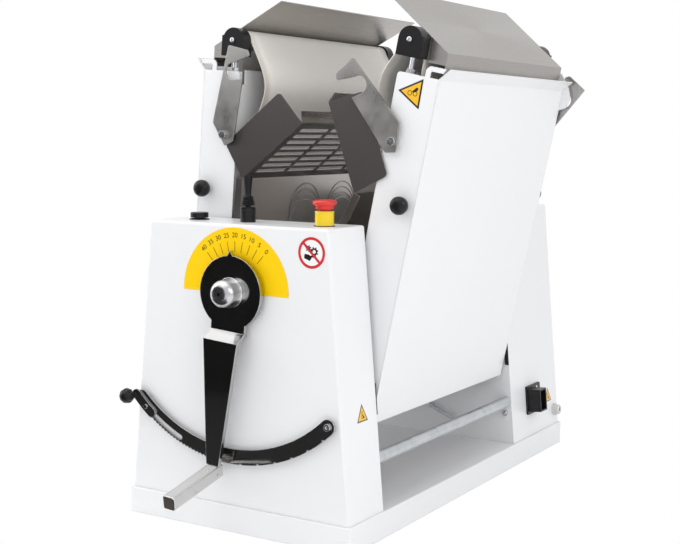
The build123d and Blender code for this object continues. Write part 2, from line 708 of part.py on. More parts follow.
def end_bearings():
    """Black bearing caps in folded steel brackets that the tension screws push on."""
    pieces = []
    for y_outer, inward in ((gap_front + cap_space, 1), (gap_rear - cap_space, -1)):
        y_cap = sorted((y_outer, y_outer + inward * cap_depth))
        shape = at(end_u, end_v) * Circle(cap_half)
        shape += outline((end_u - cap_half, cap_low), (end_u + cap_half, cap_low),
                         (end_u + cap_half, end_v), (end_u - cap_half, end_v))
        cap = slab(shape, *y_cap)
        bore = sorted((y_outer + inward * cap_wall, y_outer + inward * 40))
        pieces.append(cap - rod(end_shaft_r + running_gap, end_u, end_v, *bore))
        wrap = make_strip([(end_u - cap_half, cap_low - 1), (end_u + cap_half + 1, cap_low - 1),
                           (end_u + cap_half + 1, end_v + 8)], sheet)
        web = outline((end_u - cap_half, cap_low - 2), (end_u + cap_half + 2, cap_low - 2),
                      (end_u + cap_half + 2, end_v + 8), (end_u - cap_half, end_v - 4))
        web = slab(web, *sorted((y_cap[(1 + inward) // 2], y_cap[(1 + inward) // 2] + inward * 1.5)))
        pieces.append(slab(wrap, *y_cap) + web - rod(end_shaft_r + 1, end_u, end_v, gap_front, gap_rear))
    return pieces


hook_t, hook_gap, notch_u = 3.0, 7.5, -12.0


def table_fasteners():
    """Tension screws with their nuts, and the shouldered pivots of the hooks."""
    pieces = []
    for y in (front_plate_y[1] + 8, rear_plate_y[0] - 8):
        low, high = table_v - 25, cap_low - 2
        screw = Pos(screw_u, y, (low + high) / 2) * Cylinder(screw_r, high - low)
        pieces.append(screw + Pos(screw_u, y, table_v) * extrude(RegularPolygon(7.5, 6), 6.5))
    for face, outward in ((plate_front, -1), (plate_rear, 1)):
        shoulder = rod(8, pivot_u, pivot_v, *sorted((face, face + outward * hook_gap)))
        shank_end = face + outward * (hook_gap + hook_t + free_gap)
        shank = rod(pivot_r, pivot_u, pivot_v, *sorted((face + outward * hook_gap, shank_end)))
        head = at(pivot_u, pivot_v) * RegularPolygon(7.5, 6)
        head = slab(head, *sorted((shank_end, shank_end + outward * 5.5)))
        pieces.append(shoulder + shank + head)
    return pieces


pan_lean = [(50.5, 586.0), (50.5, 620.5), (-86.0, 701.5)]
pan_t = 1.5


def catch_pan():
    """Flour pan hung on the table's end, with a wall at each end."""
    strip = make_strip([(u - pan_t, v) for u, v in pan_lean], pan_t)
    body = slab(strip, *belt_y)
    (u0, v0), (u1, v1) = pan_lean[1], pan_lean[2]
    inner = 17.0
    share = (u0 - inner) / (u0 - u1)
    wall = outline((u0 - pan_t, v0 - 20), (u0 - pan_t, v0), (inner, v0 + share * (v1 - v0)), (inner, v0 - 20))
    return body + slab(wall, belt_y[0], belt_y[0] + pan_t) + slab(wall, belt_y[1] - pan_t, belt_y[1])


def knobs():
    pieces = []
    for face, outward in ((plate_front, -1), (plate_rear, 1)):
        stem = rod(6, knob_u, knob_v, *sorted((face, face + outward * 8)))
        grip = rod(knob_r, knob_u, knob_v, *sorted((face + outward * 6, face + outward * 25)))
        pieces.append(stem + fillet(grip.edges(), 6))
    return pieces


def hook(swing, outward):
    """Claw plate about its pivot; swing is the turn away from the upright, engaged position."""
    shape = outline((-20, -10), (-3, -19), (25, 20), (0, 154), (-41, 147), (-45, 137), (notch_u, 125),
                    (notch_u, 95), (-33, 98))
    shape = fillet(shape.vertices().filter_by(lambda v: v.X < -35 or v.Y < 30 or v.Y > 150), 3)
    shape -= at(notch_u, 110) * Circle(15)
    shape -= Circle(pivot_r + running_gap)
    face = plate_front if outward < 0 else plate_rear
    y = sorted((face + outward * hook_gap, face + outward * (hook_gap + hook_t)))
    return Pos(pivot_u, 0, pivot_v) * Rot(0, swing, 0) * slab(shape, *y)


def placed(shape, tilt, side):
    """Lean a table piece about the hinge and set it on its side of the machine."""
    items = shape if isinstance(shape, list) else [shape]
    moved = [Pos(hinge_x, 0, hinge_z) * Rot(0, tilt, 0) * item for item in items]
    return moved if side > 0 else [mirror(item, about=Plane.YZ) for item in moved]


# ---- write every node --------------------------------------------------------------------------------
save("plinth", plinth())
save("plinth_bottom", plinth_bottom())
save("front_housing", front_housing())
save("rear_housing", rear_housing())
save("front_inner_plate", inner_plate(gap_front, -1))
save("rear_inner_plate", inner_plate(gap_rear, 1))
save("cross_tubes", cross_tubes())
save("edge_pads", edge_pads())
save("hinge_bushes", hinge_bushes())
save("transfer_plates", transfer_plates())
save("scraper_spring", scraper_spring())
save("drive_motor", drive_motor())
save("dial_plate", dial_plate())
save("quadrant", quadrant())
save("frame_fasteners", frame_fasteners())
save("lever", lever())
save("lever_handle", lever_handle())
save("lift_shaft", lift_shaft())
save("quadrant_stop", quadrant_stop())
save("stop_knob", stop_knob())
save("bearing_blocks", bearing_blocks())
save("upper_scraper", upper_scraper())
save("upper_roller", main_roller(upper_roller_z, gap_front - 25, gap_rear + 25))
save("lower_roller", main_roller(lower_roller_z, gap_front - 18, gap_rear + 40))
save("estop_base", estop_base())
save("estop_head", estop_head())
save("joystick_collar", joystick_collar())
save("joystick", joystick())
save("button_cap", button_cap())
save("power_inlet", power_inlet())
save("cable_gland", cable_gland())
for side, name, angle in ((1, "right", right_guard_angle), (-1, "left", left_guard_angle)):
    folded, shaft = guard(angle), guard_shaft()
    save(f"{name}_guard", folded if side > 0 else mirror(folded, about=Plane.YZ))
    save(f"{name}_guard_shaft", shaft if side > 0 else mirror(shaft, about=Plane.YZ))

front_swing = {"right": -40.5, "left": 0.0}
rear_swing = {"right": 39.4, "left": 0.0}
for side, name, tilt in ((1, "right", right_tilt), (-1, "left", left_tilt)):
    pieces = {
        "side_plates": side_plates(), "panel": table_panel(), "slider_bed": slider_bed(), "belt": belt(),
        "drive_roller": drive_roller(), "end_roller": end_roller(), "end_bearings": end_bearings(),
        "fasteners": table_fasteners(), "catch_pan": catch_pan(), "knobs": knobs(),
        "front_hook": hook(front_swing[name], -1), "rear_hook": hook(rear_swing[name], 1)}
    for piece, shape in pieces.items():
        save(f"{name}_{piece}", placed(shape, tilt, side))
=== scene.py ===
"""Bench dough sheeter with folded belt tables: looks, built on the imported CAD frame."""
from math import atan2, cos, hypot, pi, radians, sin

import bmesh
import bpy
from mathutils import Matrix, Vector


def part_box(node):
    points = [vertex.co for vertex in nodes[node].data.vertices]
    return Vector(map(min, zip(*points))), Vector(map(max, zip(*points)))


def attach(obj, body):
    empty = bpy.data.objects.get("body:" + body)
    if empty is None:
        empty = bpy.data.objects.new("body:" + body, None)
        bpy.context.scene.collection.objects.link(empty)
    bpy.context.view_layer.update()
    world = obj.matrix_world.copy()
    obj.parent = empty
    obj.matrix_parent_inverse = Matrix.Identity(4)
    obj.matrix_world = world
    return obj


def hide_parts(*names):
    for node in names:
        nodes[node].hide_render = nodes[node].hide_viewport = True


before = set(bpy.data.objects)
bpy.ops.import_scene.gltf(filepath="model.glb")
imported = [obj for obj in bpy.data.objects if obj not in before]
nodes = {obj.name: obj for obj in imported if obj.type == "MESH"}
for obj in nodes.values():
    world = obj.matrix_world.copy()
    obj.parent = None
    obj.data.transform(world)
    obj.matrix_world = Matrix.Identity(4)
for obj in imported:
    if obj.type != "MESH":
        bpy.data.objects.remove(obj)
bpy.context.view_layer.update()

# ---- Camera ------------------------------------------------------------------------------------------
# A short telephoto lens stands at table height, a little to the right of the lever's side,
# so that the dial, the folded tables and the right-hand flank are all in view.
lens = bpy.data.cameras.new("lens")
lens.lens, lens.sensor_width = 66.47, 36
camera = bpy.data.objects.new("camera", lens)
right, up, back = Vector((.8535, .521, .0087)), Vector((-.0654, .0906, .9937)), Vector((.5169, -.8488, .1114))
camera.matrix_world = (Matrix.Translation((1.2139, -2.1073, .6713))
                       @ Matrix((right, up, back)).transposed().to_4x4())
bpy.context.scene.collection.objects.link(camera)
bpy.context.scene.camera = camera

# ---- Studio ------------------------------------------------------------------------------------------
# A pale floor under an even sky, with one big soft light overhead on the left, a narrower one at
# each side and a weak fill light near the lens. The sky is a little darker low down so that polished
# steel has something to show, and the lens itself sees only clean white behind the machine.
bpy.context.scene.view_settings.view_transform = "Standard"
world = bpy.data.worlds.new("studio")
bpy.context.scene.world = world
world.use_nodes = True
sky = world.node_tree
coords = sky.nodes.new("ShaderNodeTexCoord")
split = sky.nodes.new("ShaderNodeSeparateXYZ")
ramp = sky.nodes.new("ShaderNodeValToRGB")
ramp.color_ramp.elements[0].position, ramp.color_ramp.elements[0].color = .42, (.80, .81, .83, 1)
ramp.color_ramp.elements[1].position, ramp.color_ramp.elements[1].color = .62, (1, 1, 1, 1)
rise = sky.nodes.new("ShaderNodeMapRange")
rise.inputs["From Min"].default_value = -1
sky.links.new(coords.outputs["Generated"], split.inputs[0])
sky.links.new(split.outputs["Z"], rise.inputs["Value"])
sky.links.new(rise.outputs[0], ramp.inputs[0])
sky.links.new(ramp.outputs[0], sky.nodes["Background"].inputs["Color"])
sky.nodes["Background"].inputs["Strength"].default_value = .86
backdrop = sky.nodes.new("ShaderNodeBackground")
seen = sky.nodes.new("ShaderNodeLightPath")
choose = sky.nodes.new("ShaderNodeMixShader")
backdrop.inputs["Color"].default_value = (1, 1, 1, 1)
sky.links.new(seen.outputs["Is Camera Ray"], choose.inputs[0])
sky.links.new(sky.nodes["Background"].outputs[0], choose.inputs[1])
sky.links.new(backdrop.outputs[0], choose.inputs[2])
sky.links.new(choose.outputs[0], sky.nodes["World Output"].inputs["Surface"])

aimed_at = Vector((0, 0, .35))
for name, place, size, power in (("overhead", (-.7, -.9, 2.6), 3.2, 31), ("left", (-2.6, -1.2, 1.3), 1.6, 18),
                                 ("right", (2.6, -.4, 1.5), 1.2, 10), ("fill", (1.5, -1.1, 1.35), .6, 3.5)):
    glow = bpy.data.lights.new(name, "AREA")
    glow.energy, glow.size = power, size
    lamp = bpy.data.objects.new(name, glow)
    lamp.location = place
    lamp.rotation_euler = (aimed_at - Vector(place)).to_track_quat("-Z", "Y").to_euler()
    bpy.context.scene.collection.objects.link(lamp)

bm = bmesh.new()
bmesh.ops.create_grid(bm, x_segments=2, y_segments=2, size=12, matrix=Matrix.Translation((0, 0, -.0008)))
floor_mesh = bpy.data.meshes.new("floor")
bm.to_mesh(floor_mesh)
floor = bpy.data.objects.new("floor", floor_mesh)
floor.visible_camera = False
bpy.context.scene.collection.objects.link(floor)
paper = bpy.data.materials.new("floor_paper")
paper.use_nodes = True
paper.node_tree.nodes["Principled BSDF"].inputs["Base Color"].default_value = (.93, .93, .93, 1)
paper.node_tree.nodes["Principled BSDF"].inputs["Roughness"].default_value = .75
floor_mesh.materials.append(paper)

# ---- Plinth and housings -----------------------------------------------------------------------------
# Folded and welded 2 mm steel sheet, powder-coated white. The coat has a faint orange peel, and
# is a little smoother and warmer where hands and cloths have rubbed the edges.


def group(name, ins, outs):
    """Empty shader group with named sockets."""
    tree = bpy.data.node_groups.new(name, "ShaderNodeTree")
    for label, kind, value in ins:
        socket = tree.interface.new_socket(label, in_out="INPUT", socket_type=kind)
        if value is not None:
            socket.default_value = value
    for label, kind in outs:
        tree.interface.new_socket(label, in_out="OUTPUT", socket_type=kind)
    return tree, tree.nodes.new("NodeGroupInput"), tree.nodes.new("NodeGroupOutput")


FLOAT, COLOUR, VECTOR = "NodeSocketFloat", "NodeSocketColor", "NodeSocketVector"


def worn_finish():
    """Colour and roughness that drift over the surface and change along the edges, with a fine grain."""
    tree, gin, gout = group("worn_finish", [
        ("Colour", COLOUR, (.8, .8, .8, 1)), ("Edge Colour", COLOUR, (.8, .8, .8, 1)),
        ("Roughness", FLOAT, .4),
        ("Edge Roughness", FLOAT, .3), ("Edge Width", FLOAT, .0012), ("Drift", FLOAT, .04),
        ("Drift Scale", FLOAT, 9), ("Grain Scale", FLOAT, 900)],
        [("Colour", COLOUR), ("Roughness", FLOAT), ("Grain", FLOAT), ("Normal", VECTOR), ("Edge", FLOAT)])
    new, link = tree.nodes.new, tree.links.new
    place = new("ShaderNodeTexCoord")
    cloud, grain = new("ShaderNodeTexNoise"), new("ShaderNodeTexNoise")
    cloud.inputs["Detail"].default_value = 5
    grain.inputs["Detail"].default_value = 2
    soft, shape = new("ShaderNodeBevel"), new("ShaderNodeNewGeometry")
    soft.samples = 4
    match = new("ShaderNodeVectorMath")
    match.operation = "DOT_PRODUCT"
    mask = new("ShaderNodeMapRange")
    mask.inputs["From Min"].default_value, mask.inputs["From Max"].default_value = .995, .86
    broken = new("ShaderNodeMath")
    broken.operation = "MULTIPLY"
    scaled = new("ShaderNodeMapRange")
    scaled.inputs["From Min"].default_value, scaled.inputs["From Max"].default_value = .35, .65
    drift = new("ShaderNodeMath")
    drift.operation = "MULTIPLY_ADD"
    shade = new("ShaderNodeHueSaturation")
    value = new("ShaderNodeMath")
    value.operation = "MULTIPLY_ADD"
    value.inputs[2].default_value = 1
    centred = new("ShaderNodeMath")
    centred.operation = "SUBTRACT"
    centred.inputs[1].default_value = .5
    mix, level = new("ShaderNodeMix"), new("ShaderNodeMix")
    mix.data_type = "RGBA"
    link(place.outputs["Object"], cloud.inputs["Vector"])
    link(place.outputs["Object"], grain.inputs["Vector"])
    link(gin.outputs["Drift Scale"], cloud.inputs["Scale"])
    link(gin.outputs["Grain Scale"], grain.inputs["Scale"])
    link(gin.outputs["Edge Width"], soft.inputs["Radius"])
    link(soft.outputs[0], match.inputs[0])
    link(shape.outputs["True Normal"], match.inputs[1])
    link(match.outputs["Value"], mask.inputs["Value"])
    link(cloud.outputs["Fac"], scaled.inputs["Value"])
    link(mask.outputs[0], broken.inputs[0])
    link(scaled.outputs[0], broken.inputs[1])
    link(cloud.outputs["Fac"], centred.inputs[0])
    link(centred.outputs[0], value.inputs[0])
    link(gin.outputs["Drift"], value.inputs[1])
    link(value.outputs[0], shade.inputs["Value"])
    link(gin.outputs["Colour"], shade.inputs["Color"])
    link(broken.outputs[0], mix.inputs[0])
    link(shade.outputs[0], mix.inputs[6])
    link(gin.outputs["Edge Colour"], mix.inputs[7])
    link(centred.outputs[0], drift.inputs[0])
    link(gin.outputs["Drift"], drift.inputs[1])
    link(gin.outputs["Roughness"], drift.inputs[2])
    link(broken.outputs[0], level.inputs[0])
    link(drift.outputs[0], level.inputs[2])
    link(gin.outputs["Edge Roughness"], level.inputs[3])
    link(mix.outputs[2], gout.inputs["Colour"])
    link(level.outputs[0], gout.inputs["Roughness"])
    link(grain.outputs["Fac"], gout.inputs["Grain"])
    link(soft.outputs[0], gout.inputs["Normal"])
    link(broken.outputs[0], gout.inputs["Edge"])
    return tree


worn = worn_finish()


def finish_of(name, colour, roughness, metal=0.0, edge=None, edge_roughness=None, edge_width=.0012, drift=.06,
              drift_scale=9, grain_scale=900, grain_depth=.00002, coat=0.0, specular=.5):
    """Material whose colour, roughness and bump all come through the worn_finish group."""
    made = bpy.data.materials.new(name)
    made.use_nodes = True
    tree = made.node_tree
    shader = tree.nodes["Principled BSDF"]
    node = tree.nodes.new("ShaderNodeGroup")
    node.node_tree = worn
    values = {"Colour": (*colour, 1), "Edge Colour": (*(edge or colour), 1), "Roughness": roughness,
              "Edge Roughness": edge_roughness if edge_roughness is not None else roughness,
              "Edge Width": edge_width, "Drift": drift, "Drift Scale": drift_scale,
              "Grain Scale": grain_scale}
    for label, value in values.items():
        node.inputs[label].default_value = value
    bump = tree.nodes.new("ShaderNodeBump")
    bump.inputs["Distance"].default_value = grain_depth
    bump.inputs["Strength"].default_value = .6
    tree.links.new(node.outputs["Colour"], shader.inputs["Base Color"])
    tree.links.new(node.outputs["Roughness"], shader.inputs["Roughness"])
    tree.links.new(node.outputs["Grain"], bump.inputs["Height"])
    tree.links.new(node.outputs["Normal"], bump.inputs["Normal"])
    tree.links.new(bump.outputs[0], shader.inputs["Normal"])
    shader.inputs["Metallic"].default_value = metal
    shader.inputs["Coat Weight"].default_value = coat
    shader.inputs["Specular IOR Level"].default_value = specular
    shader.inputs["Coat Roughness"].default_value = .12
    return made


def coat_nodes(material, *names):
    """Give CAD nodes a finished material."""
    for name in names:
        for place in nodes[name].material_slots:
            place.material = material


white = finish_of("white_powder_coat", (.79, .795, .81), .34, edge=(.78, .78, .77), edge_roughness=.24,
                  edge_width=.002, drift=.02, grain_scale=420, grain_depth=.00012, coat=.15)
coat_nodes(white, "plinth", "front_housing", "rear_housing", "front_inner_plate", "rear_inner_plate")
zinc = finish_of("zinc_sheet", (.62, .64, .66), .42, metal=1, drift=.3, drift_scale=60, grain_scale=500)
coat_nodes(zinc, "plinth_bottom")

# ---- Signs on the housings ---------------------------------------------------------------------------
# Printed vinyl stickers: a round prohibition sign by the controls and yellow warning triangles.
# Each is a flat film a fraction of a millimetre thick, its picture cut from further thin films.


FILM_THICK, FILM_LIFT, FILM_STEP = .00008, .00006, .0001


def film_material(name, colour):
    """Glossy printed vinyl."""
    return finish_of(name, colour, .32, drift=.03, grain_scale=1500, grain_depth=.00001, coat=.3)


red_film = film_material("red_film", (.62, .02, .03))
white_film = film_material("white_film", (.84, .84, .84))
black_film = film_material("black_film", (.012, .012, .012))
amber_film = film_material("amber_film", (.86, .48, .015))


def film(name, points, material, spot, body, layer, hole=None):
    """Flat sticker cut to an outline in millimetres, one layer above the last, set on a face by a matrix.

    A hole leaves only a rim of that width.
    """
    bm = bmesh.new()
    ring = [bm.verts.new((x / 1000, y / 1000, 0)) for x, y in points]
    bm.faces.new(ring)
    bm.normal_update()
    if hole:
        rim = bmesh.ops.inset_region(bm, faces=bm.faces[:], thickness=hole / 1000, use_boundary=True,
                                     use_even_offset=True)["faces"]
        bmesh.ops.delete(bm, geom=[f for f in bm.faces if f not in rim], context="FACES")
    thick = bmesh.ops.extrude_face_region(bm, geom=bm.faces[:])
    bmesh.ops.translate(bm, vec=(0, 0, FILM_THICK),
                        verts=[v for v in thick["geom"] if isinstance(v, bmesh.types.BMVert)])
    bmesh.ops.translate(bm, vec=(0, 0, FILM_LIFT + FILM_STEP * layer), verts=bm.verts)
    bmesh.ops.transform(bm, matrix=spot, verts=bm.verts)
    bmesh.ops.recalc_face_normals(bm, faces=bm.faces)
    mesh = bpy.data.meshes.new(name)
    bm.to_mesh(mesh)
    mesh.materials.append(material)
    piece = bpy.data.objects.new(name, mesh)
    bpy.context.scene.collection.objects.link(piece)
    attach(piece, body)
    return piece


def circle_points(r, count=48, centre=(0, 0)):
    """Outline of a disc."""
    return [(centre[0] + r * cos(radians(360 * i / count)), centre[1] + r * sin(radians(360 * i / count)))
            for i in range(count)]


def facing(place, outward, upward):
    """Matrix that stands a flat piece on a face: its own Z outward, its own Y upward."""
    z = Vector(outward).normalized()
    x = Vector(upward).cross(z).normalized()
    return Matrix.Translation(place) @ Matrix((x, z.cross(x), z)).transposed().to_4x4()


def rounded(points, r, steps=4):
    """Corner points swapped for short arcs."""
    out = []
    for i, p in enumerate(points):
        here, before, after = Vector(p), Vector(points[i - 1]), Vector(points[(i + 1) % len(points)])
        a, b = (before - here).normalized(), (after - here).normalized()
        reach = r / max(.05, Vector((a + b)).length) * 1.2
        p0, p1 = here + a * reach, here + b * reach
        for k in range(steps + 1):
            t = k / steps
            out.append(tuple(p0 * (1 - t) ** 2 + here * 2 * t * (1 - t) + p1 * t ** 2))
    return out


def gear_points(r, teeth, depth, centre):
    """Outline of a gear with square teeth that stand depth above the radius r."""
    out = []
    for i in range(teeth):
        for step, radius in ((0, r), (.25, r + depth), (.5, r + depth), (.75, r)):
            a = 2 * pi * (i + step) / teeth
            out.append((centre[0] + radius * cos(a), centre[1] + radius * sin(a)))
    return out


front_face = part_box("front_housing")[0].y
spot = facing((.149, front_face, .480), (0, -1, 0), (0, 0, 1))
film("no_hands_white", circle_points(26), white_film, spot, "frame", 0)
film("no_hands_ring", circle_points(25.2), red_film, spot, "frame", 1, hole=4.6)
film("no_hands_gear_big", gear_points(5.6, 8, 2.2, (5, 2)), black_film, spot, "frame", 1, hole=2.6)
film("no_hands_gear_small", gear_points(3.6, 7, 1.8, (-6, 7)), black_film, spot, "frame", 1, hole=1.9)
film("no_hands_palm", rounded([(-14, -9), (-3, -13), (1, -7), (-4, -3), (-13, -2)], 1.5), black_film, spot,
     "frame", 1)
film("no_hands_fingers", rounded([(-4, -6), (6, -8), (9, -5), (2, -3)], 1.0), black_film, spot, "frame", 1)
film("no_hands_bar", [(-17.5, 14.5), (-14.5, 17.5), (17.5, -14.5), (14.5, -17.5)], red_film, spot, "frame", 2)


def warning_triangle(name, spot, size, body):
    """Yellow triangle with a black border and a plain picture of our own: two rollers and fingers."""
    outer = [(0, size * .577), (-size / 2, -size * .289), (size / 2, -size * .289)]
    film(f"{name}_border", rounded(outer, 1.2), black_film, spot, body, 0)
    film(f"{name}_face", [(x * .80, y * .80) for x, y in outer], amber_film, spot, body, 1)
    for roller, height in (("roller_a", size * .13), ("roller_b", -size * .07)):
        film(f"{name}_{roller}", circle_points(size * .085, 20, (-size * .02, height)), black_film, spot,
             body, 2, hole=size * .022)
    fingers = [(size * .04, size * .055), (size * .2, -size * .10), (size * .16, -size * .17),
               (size * .06, -size * .12), (0, size * .02)]
    film(f"{name}_fingers", rounded(fingers, size * .02), black_film, spot, body, 2)


# The housings' side rises from the plinth's top, half the foot's width from the middle, and leans in.
foot_half, foot_z, side_in, side_high = .2225, .045, .0435, .4735
lean = atan2(side_in, side_high)


def flank(y, z):
    """A place on the housings' sloping right side."""
    x = foot_half - side_in * (z - foot_z) / side_high
    return facing((x, y, z), (cos(lean), 0, sin(lean)), (-sin(lean), 0, cos(lean)))


warning_triangle("near_flank_sign", flank(-.381, .213), 34, "frame")
warning_triangle("rear_flank_sign", flank(.394, .108), 34, "frame")

# ---- Dial --------------------------------------------------------------------------------------------
# Yellow printed plate behind the lever's disc, numbered 0 to 40 in millimetres of opening.
# The numbers and their strokes are a black print, here a film about a tenth of a millimetre proud.
dial_yellow = finish_of("dial_yellow", (.90, .58, .001), .45, edge=(.62, .60, .52), edge_width=.0005,
                        drift=.03, grain_scale=1200, grain_depth=.00001, specular=.12)
coat_nodes(dial_yellow, "dial_plate")
dial_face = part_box("dial_plate")[0][1]
pivot_z = .407
mid_reading, half_sweep = 20, radians(42.2)
for reading in range(0, 2 * mid_reading + 1, 5):
    turn = (mid_reading - reading) * half_sweep / mid_reading
    arm = Matrix.Translation((0, dial_face, pivot_z)) @ Matrix.Rotation(turn, 4, "Y")
    stroke = arm @ facing((0, 0, 0), (0, -1, 0), (0, 0, 1))
    film(f"dial_stroke_{reading}", [(-.45, 66), (.45, 66), (.45, 84), (-.45, 84)], black_film, stroke,
         "frame", 0)
    words = bpy.data.curves.new(f"dial_number_{reading}", "FONT")
    words.body = str(reading)
    words.size, words.align_x, words.align_y = .0115, "CENTER", "CENTER"
    words.extrude = .00005
    lettering = bpy.data.objects.new(f"dial_number_{reading}", words)
    bpy.context.scene.collection.objects.link(lettering)
    bpy.context.view_layer.update()
    printed = bpy.data.meshes.new_from_object(lettering)
    bpy.data.objects.remove(lettering)
    printed.transform(Matrix.Translation((0, .0935, .00012)))
    printed.transform(stroke)
    printed.materials.clear()
    printed.materials.append(black_film)
    number = bpy.data.objects.new(f"dial_number_{reading}", printed)
    bpy.context.scene.collection.objects.link(number)
    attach(number, "frame")

# ---- Lever, hub, handle and quadrant -----------------------------------------------------------------
# Laser-cut stainless plate, mirror-polished, with bright ground edges. The hub and the square
# handle are chromed. A black flag and its foot, in front on the left, show in the polished faces.
mirror_steel = finish_of("mirror_steel", (.48, .475, .47), .09, metal=1, edge=(.86, .86, .86),
                         edge_roughness=.22, edge_width=.0012, drift=.05, drift_scale=14, grain_scale=160,
                         grain_depth=.00004)
coat_nodes(mirror_steel, "lever", "quadrant", "quadrant_stop")
handle_chrome = finish_of("handle_chrome", (.66, .65, .64), .13, metal=1, edge=(.9, .9, .9), edge_width=.0012,
                          drift=.10, drift_scale=24, grain_scale=220, grain_depth=.00004)


def on_end_faces(material, colour, roughness):
    """A second colour and roughness on the faces that look along Y; the colour is painted light, set by which
    way a face looks.
    """
    tree = material.node_tree
    shader = tree.nodes["Principled BSDF"]
    turn, axes = tree.nodes.new("ShaderNodeNewGeometry"), tree.nodes.new("ShaderNodeSeparateXYZ")
    endways, mask = tree.nodes.new("ShaderNodeMath"), tree.nodes.new("ShaderNodeMapRange")
    endways.operation = "ABSOLUTE"
    mask.inputs["From Min"].default_value, mask.inputs["From Max"].default_value = .7, .9
    painted_tone, level = tree.nodes.new("ShaderNodeMix"), tree.nodes.new("ShaderNodeMix")
    painted_tone.data_type = "RGBA"
    painted_tone.inputs[7].default_value = (*colour, 1)
    level.inputs[3].default_value = roughness
    tree.links.new(turn.outputs["True Normal"], axes.inputs[0])
    tree.links.new(axes.outputs["Y"], endways.inputs[0])
    tree.links.new(endways.outputs[0], mask.inputs["Value"])
    for mix, label, slot, result in ((painted_tone, "Base Color", 6, 2), (level, "Roughness", 2, 0)):
        tree.links.new(mask.outputs[0], mix.inputs[0])
        tree.links.new(shader.inputs[label].links[0].from_socket, mix.inputs[slot])
        tree.links.new(mix.outputs[result], shader.inputs[label])


# Painted reflection: the handle's end faces, which look along Y, get a browner colour; they are also made
# rougher.
on_end_faces(handle_chrome, (.62, .57, .53), .42)
coat_nodes(handle_chrome, "lever_handle")
hub_chrome = finish_of("lift_hub_chrome", (.74, .74, .75), .20, metal=1, edge=(.9, .9, .9), edge_width=.001,
                       drift=.08, drift_scale=30, grain_scale=300, grain_depth=.00003)

flag_paint = bpy.data.materials.new("flag_black")
flag_paint.use_nodes = True
flag_paint.node_tree.nodes["Principled BSDF"].inputs["Base Color"].default_value = (.004, .004, .004, 1)
flag_paint.node_tree.nodes["Principled BSDF"].inputs["Roughness"].default_value = 1
for name, spot, wide, high in (("flag", facing((-.72, -1.35, .38), (.5169, .8488, 0), (0, 0, 1)), 1.25, .80),
                               ("flag_foot", Matrix.Translation((-.50, -1.02, .002)), 1.4, .84)):
    bm = bmesh.new()
    bmesh.ops.create_grid(bm, x_segments=1, y_segments=1, size=.5,
                          matrix=spot @ Matrix.Diagonal((wide, high, 1, 1)))
    card_mesh = bpy.data.meshes.new(name)
    bm.to_mesh(card_mesh)
    card_mesh.materials.append(flag_paint)
    card = bpy.data.objects.new(name, card_mesh)
    card.visible_camera = card.visible_diffuse = card.visible_shadow = False
    bpy.context.scene.collection.objects.link(card)


def along_y(x, y, z):
    """Matrix that points a spun piece's own Z towards the operator, out of the front face."""
    return facing((x, y, z), (0, -1, 0), (0, 0, 1))


def spun(name, profile, place, material, body, steps=56, flutes=0):
    """Turned piece: a profile of (radius, height) in millimetres spun about its own Z, then placed.

    Flutes are shallow hollows down its sides, as on a moulded knob.
    """
    bm = bmesh.new()
    line = [bm.verts.new((r / 1000, 0, h / 1000)) for r, h in profile]
    edges = [bm.edges.new(pair) for pair in zip(line, line[1:])]
    bmesh.ops.spin(bm, geom=line + edges, cent=(0, 0, 0), axis=(0, 0, 1), dvec=(0, 0, 0), angle=2 * pi,
                   steps=steps, use_merge=True, use_normal_flip=False, use_duplicate=False)
    bmesh.ops.remove_doubles(bm, verts=bm.verts, dist=1e-6)
    if flutes:
        for v in bm.verts:
            v.co.xy *= .97 - .03 * cos(flutes * atan2(v.co.y, v.co.x))
    bmesh.ops.transform(bm, matrix=place, verts=bm.verts)
    bmesh.ops.recalc_face_normals(bm, faces=bm.faces)
    mesh = bpy.data.meshes.new(name)
    bm.to_mesh(mesh)
    mesh.shade_smooth()
    mesh.set_sharp_from_angle(angle=radians(38))
    mesh.materials.append(material)
    piece = bpy.data.objects.new(name, mesh)
    bpy.context.scene.collection.objects.link(piece)
    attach(piece, body)
    return piece


def dome(r, h, corner, steps=10):
    """Profile of a cap of radius r and height h whose shoulder is rounded by corner."""
    arc = [(r - corner + corner * sin(pi / 2 * i / steps), h - corner + corner * cos(pi / 2 * i / steps))
           for i in range(steps + 1)]
    return [(0, h)] + arc + [(r, 0)]


disc_face = -.4605          # front of the lever's disc
spun("lift_hub", dome(23, 31, 20.5) + [(0, 0)], along_y(0, disc_face, pivot_z), hub_chrome, "lever")
spun("lift_hub_step", [(0, 1.2), (24.6, 1.2), (25.2, .6), (25.2, 0), (0, 0)], along_y(0, disc_face, pivot_z),
     hub_chrome, "lever")
shaft_steel = finish_of("shaft_steel", (.58, .58, .60), .26, metal=1, edge=(.8, .8, .8), drift=.15,
                        drift_scale=40)
coat_nodes(shaft_steel, "lift_shaft")

# ---- Quadrant stop's knob, table grips ---------------------------------------------------------------
# Moulded black phenolic: a ball on the stop, and two flattened mushroom grips on each table.
black_plastic = finish_of("black_moulding", (.008, .008, .009), .30, edge=(.03, .03, .03), edge_roughness=.3,
                          edge_width=.0008, drift=.12, grain_scale=1400, grain_depth=.00004, specular=.3)
coat_nodes(black_plastic, "stop_knob")
ball_r, ball_place = 13.5, along_y(-.2217, -.461, .2095)
ball = spun("stop_ball", [(ball_r * sin(pi * i / 24), ball_r * cos(pi * i / 24)) for i in range(25)],
            ball_place, black_plastic, "quadrant_stop", steps=72, flutes=9)
# The ball is cut flat behind, where it would otherwise reach into the quadrant's front.
quadrant_front, quadrant_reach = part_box("quadrant")[0].y - .0004, .2910
for v in ball.data.vertices:
    if hypot(v.co.x, v.co.z - pivot_z) < quadrant_reach:
        v.co.y = min(v.co.y, quadrant_front)
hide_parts("stop_knob")
tilts = {"left": radians(-3.95), "right": radians(11.6)}
sides = {"left": -1, "right": 1}
hinge_x, hinge_z = .140, .1965


